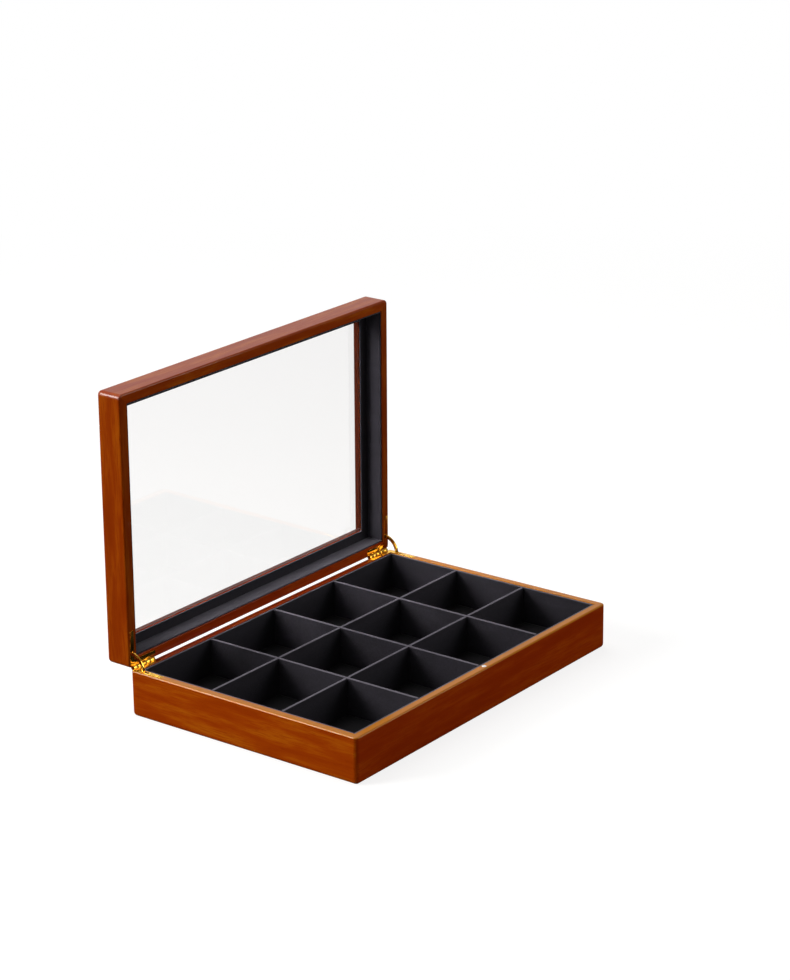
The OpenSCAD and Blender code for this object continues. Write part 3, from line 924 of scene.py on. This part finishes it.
reach = FLOOR_REACH
corners = [(-reach, -reach, 0), (reach, -reach, 0), (reach, reach, 0), (-reach, reach, 0)]
mesh = bpy.data.meshes.new("floor")
mesh.from_pydata(corners, [], [(0, 1, 2, 3)])
mesh.materials.append(white_floor())
put_in_scene("floor", mesh)

# %% [markdown]
# ## Room and lamps
#
# The main lamp is a softbox on the left, behind the case, and a second one overhead lights the
# rims. Weaker ones on the left and in front keep the front from going black. What mirrors see is
# white behind the case and dark in front of it, as in a room with one lit end, and brightest on
# the left.

# %% The room
ROOM_LIGHT = 0.04
ROOM_IN_FRONT = 0.25
ROOM_BEHIND = 1.1
ROOM_ON_LEFT = 4.0

world = bpy.data.worlds.new("studio")
bpy.context.scene.world = world
world.use_nodes = True
world.node_tree.nodes.clear()
seen, mirrored = ray_kinds(world)
plain = spread(world, seen, 0.0, 1.0, ROOM_LIGHT, 1.0)
leftward = position(world, "X", "Generated")
back_wall = spread(world, leftward, -0.6, -0.1, ROOM_ON_LEFT, ROOM_BEHIND)
behind = spread(world, position(world, "Y", "Generated"), -0.3, 0.4)
inputs = {0: behind, 2: ROOM_IN_FRONT, 3: back_wall}
room = add(world, "ShaderNodeMix", inputs, data_type="FLOAT").outputs[0]
inputs = {0: mirrored, 2: plain, 3: room}
strength = add(world, "ShaderNodeMix", inputs, data_type="FLOAT").outputs[0]
sky = add(world, "ShaderNodeBackground", {"Color": WHITE, "Strength": strength})
add(world, "ShaderNodeOutputWorld", {"Surface": sky.outputs[0]})
print("the room has", len(world.node_tree.nodes), "nodes")

# %% The lamps
MIDDLE = Vector((0.0, 0.0, 0.1))
# Name, place and size in metres, and level
LAMPS = (
    ("key_softbox", (-1.75, 1.45, 1.15), 1.0, 1.1),
    ("overhead_softbox", (0.3, 0.8, 2.3), 1.4, 0.38),
    ("left_softbox", (-2.4, -0.1, 0.6), 1.2, 0.08),
    ("front_softbox", (1.3, -2.0, 0.9), 1.4, 0.42),
)


def softbox(name, place, size, level):
    """Square lamp that points at the case. A white card there that faces it looks as bright as the
    level: the lamp's power is pi squared times the level times the square of the distance."""
    lamp = bpy.data.lights.new(name, "AREA")
    lamp.shape = "SQUARE"
    lamp.size = size
    toward = MIDDLE - Vector(place)
    lamp.energy = level * pi**2 * toward.length_squared
    made = put_in_scene(name, lamp)
    made.location = place
    made.rotation_euler = toward.to_track_quat("-Z", "Y").to_euler()
    print(name, "gives", round(lamp.energy, 1), "watts")


for lamp in LAMPS:
    softbox(*lamp)

# %% [markdown]
# ## Camera
#
# The camera stands where the photographer stood: far away with a long lens, to the front left and
# a little above. Its place was solved from the straight edges of the case in the photograph.

# %% Camera
CAMERA_PLACE = (-1.60092, -1.24361, 0.85798)
HEADING = radians(52.65)
TILT = radians(-19.12)
ROLL = radians(-0.71)
LENS_MM = 104.5
SENSOR_MM = 36.0
FARTHEST = 100.0
camera_data = bpy.data.cameras.new("camera")
camera_data.lens = LENS_MM
camera_data.sensor_width = SENSOR_MM
camera_data.clip_end = FARTHEST
camera = put_in_scene("camera", camera_data)
camera.matrix_world = (
    Matrix.Translation(CAMERA_PLACE)
    @ Matrix.Rotation(-HEADING, 4, "Z")
    @ Matrix.Rotation(pi / 2 + TILT, 4, "X")
    @ Matrix.Rotation(ROLL, 4, "Z")
)
bpy.context.scene.camera = camera
bpy.context.scene.view_settings.view_transform = "Standard"
print("the camera is", round(Vector(CAMERA_PLACE).length, 2), "m away")
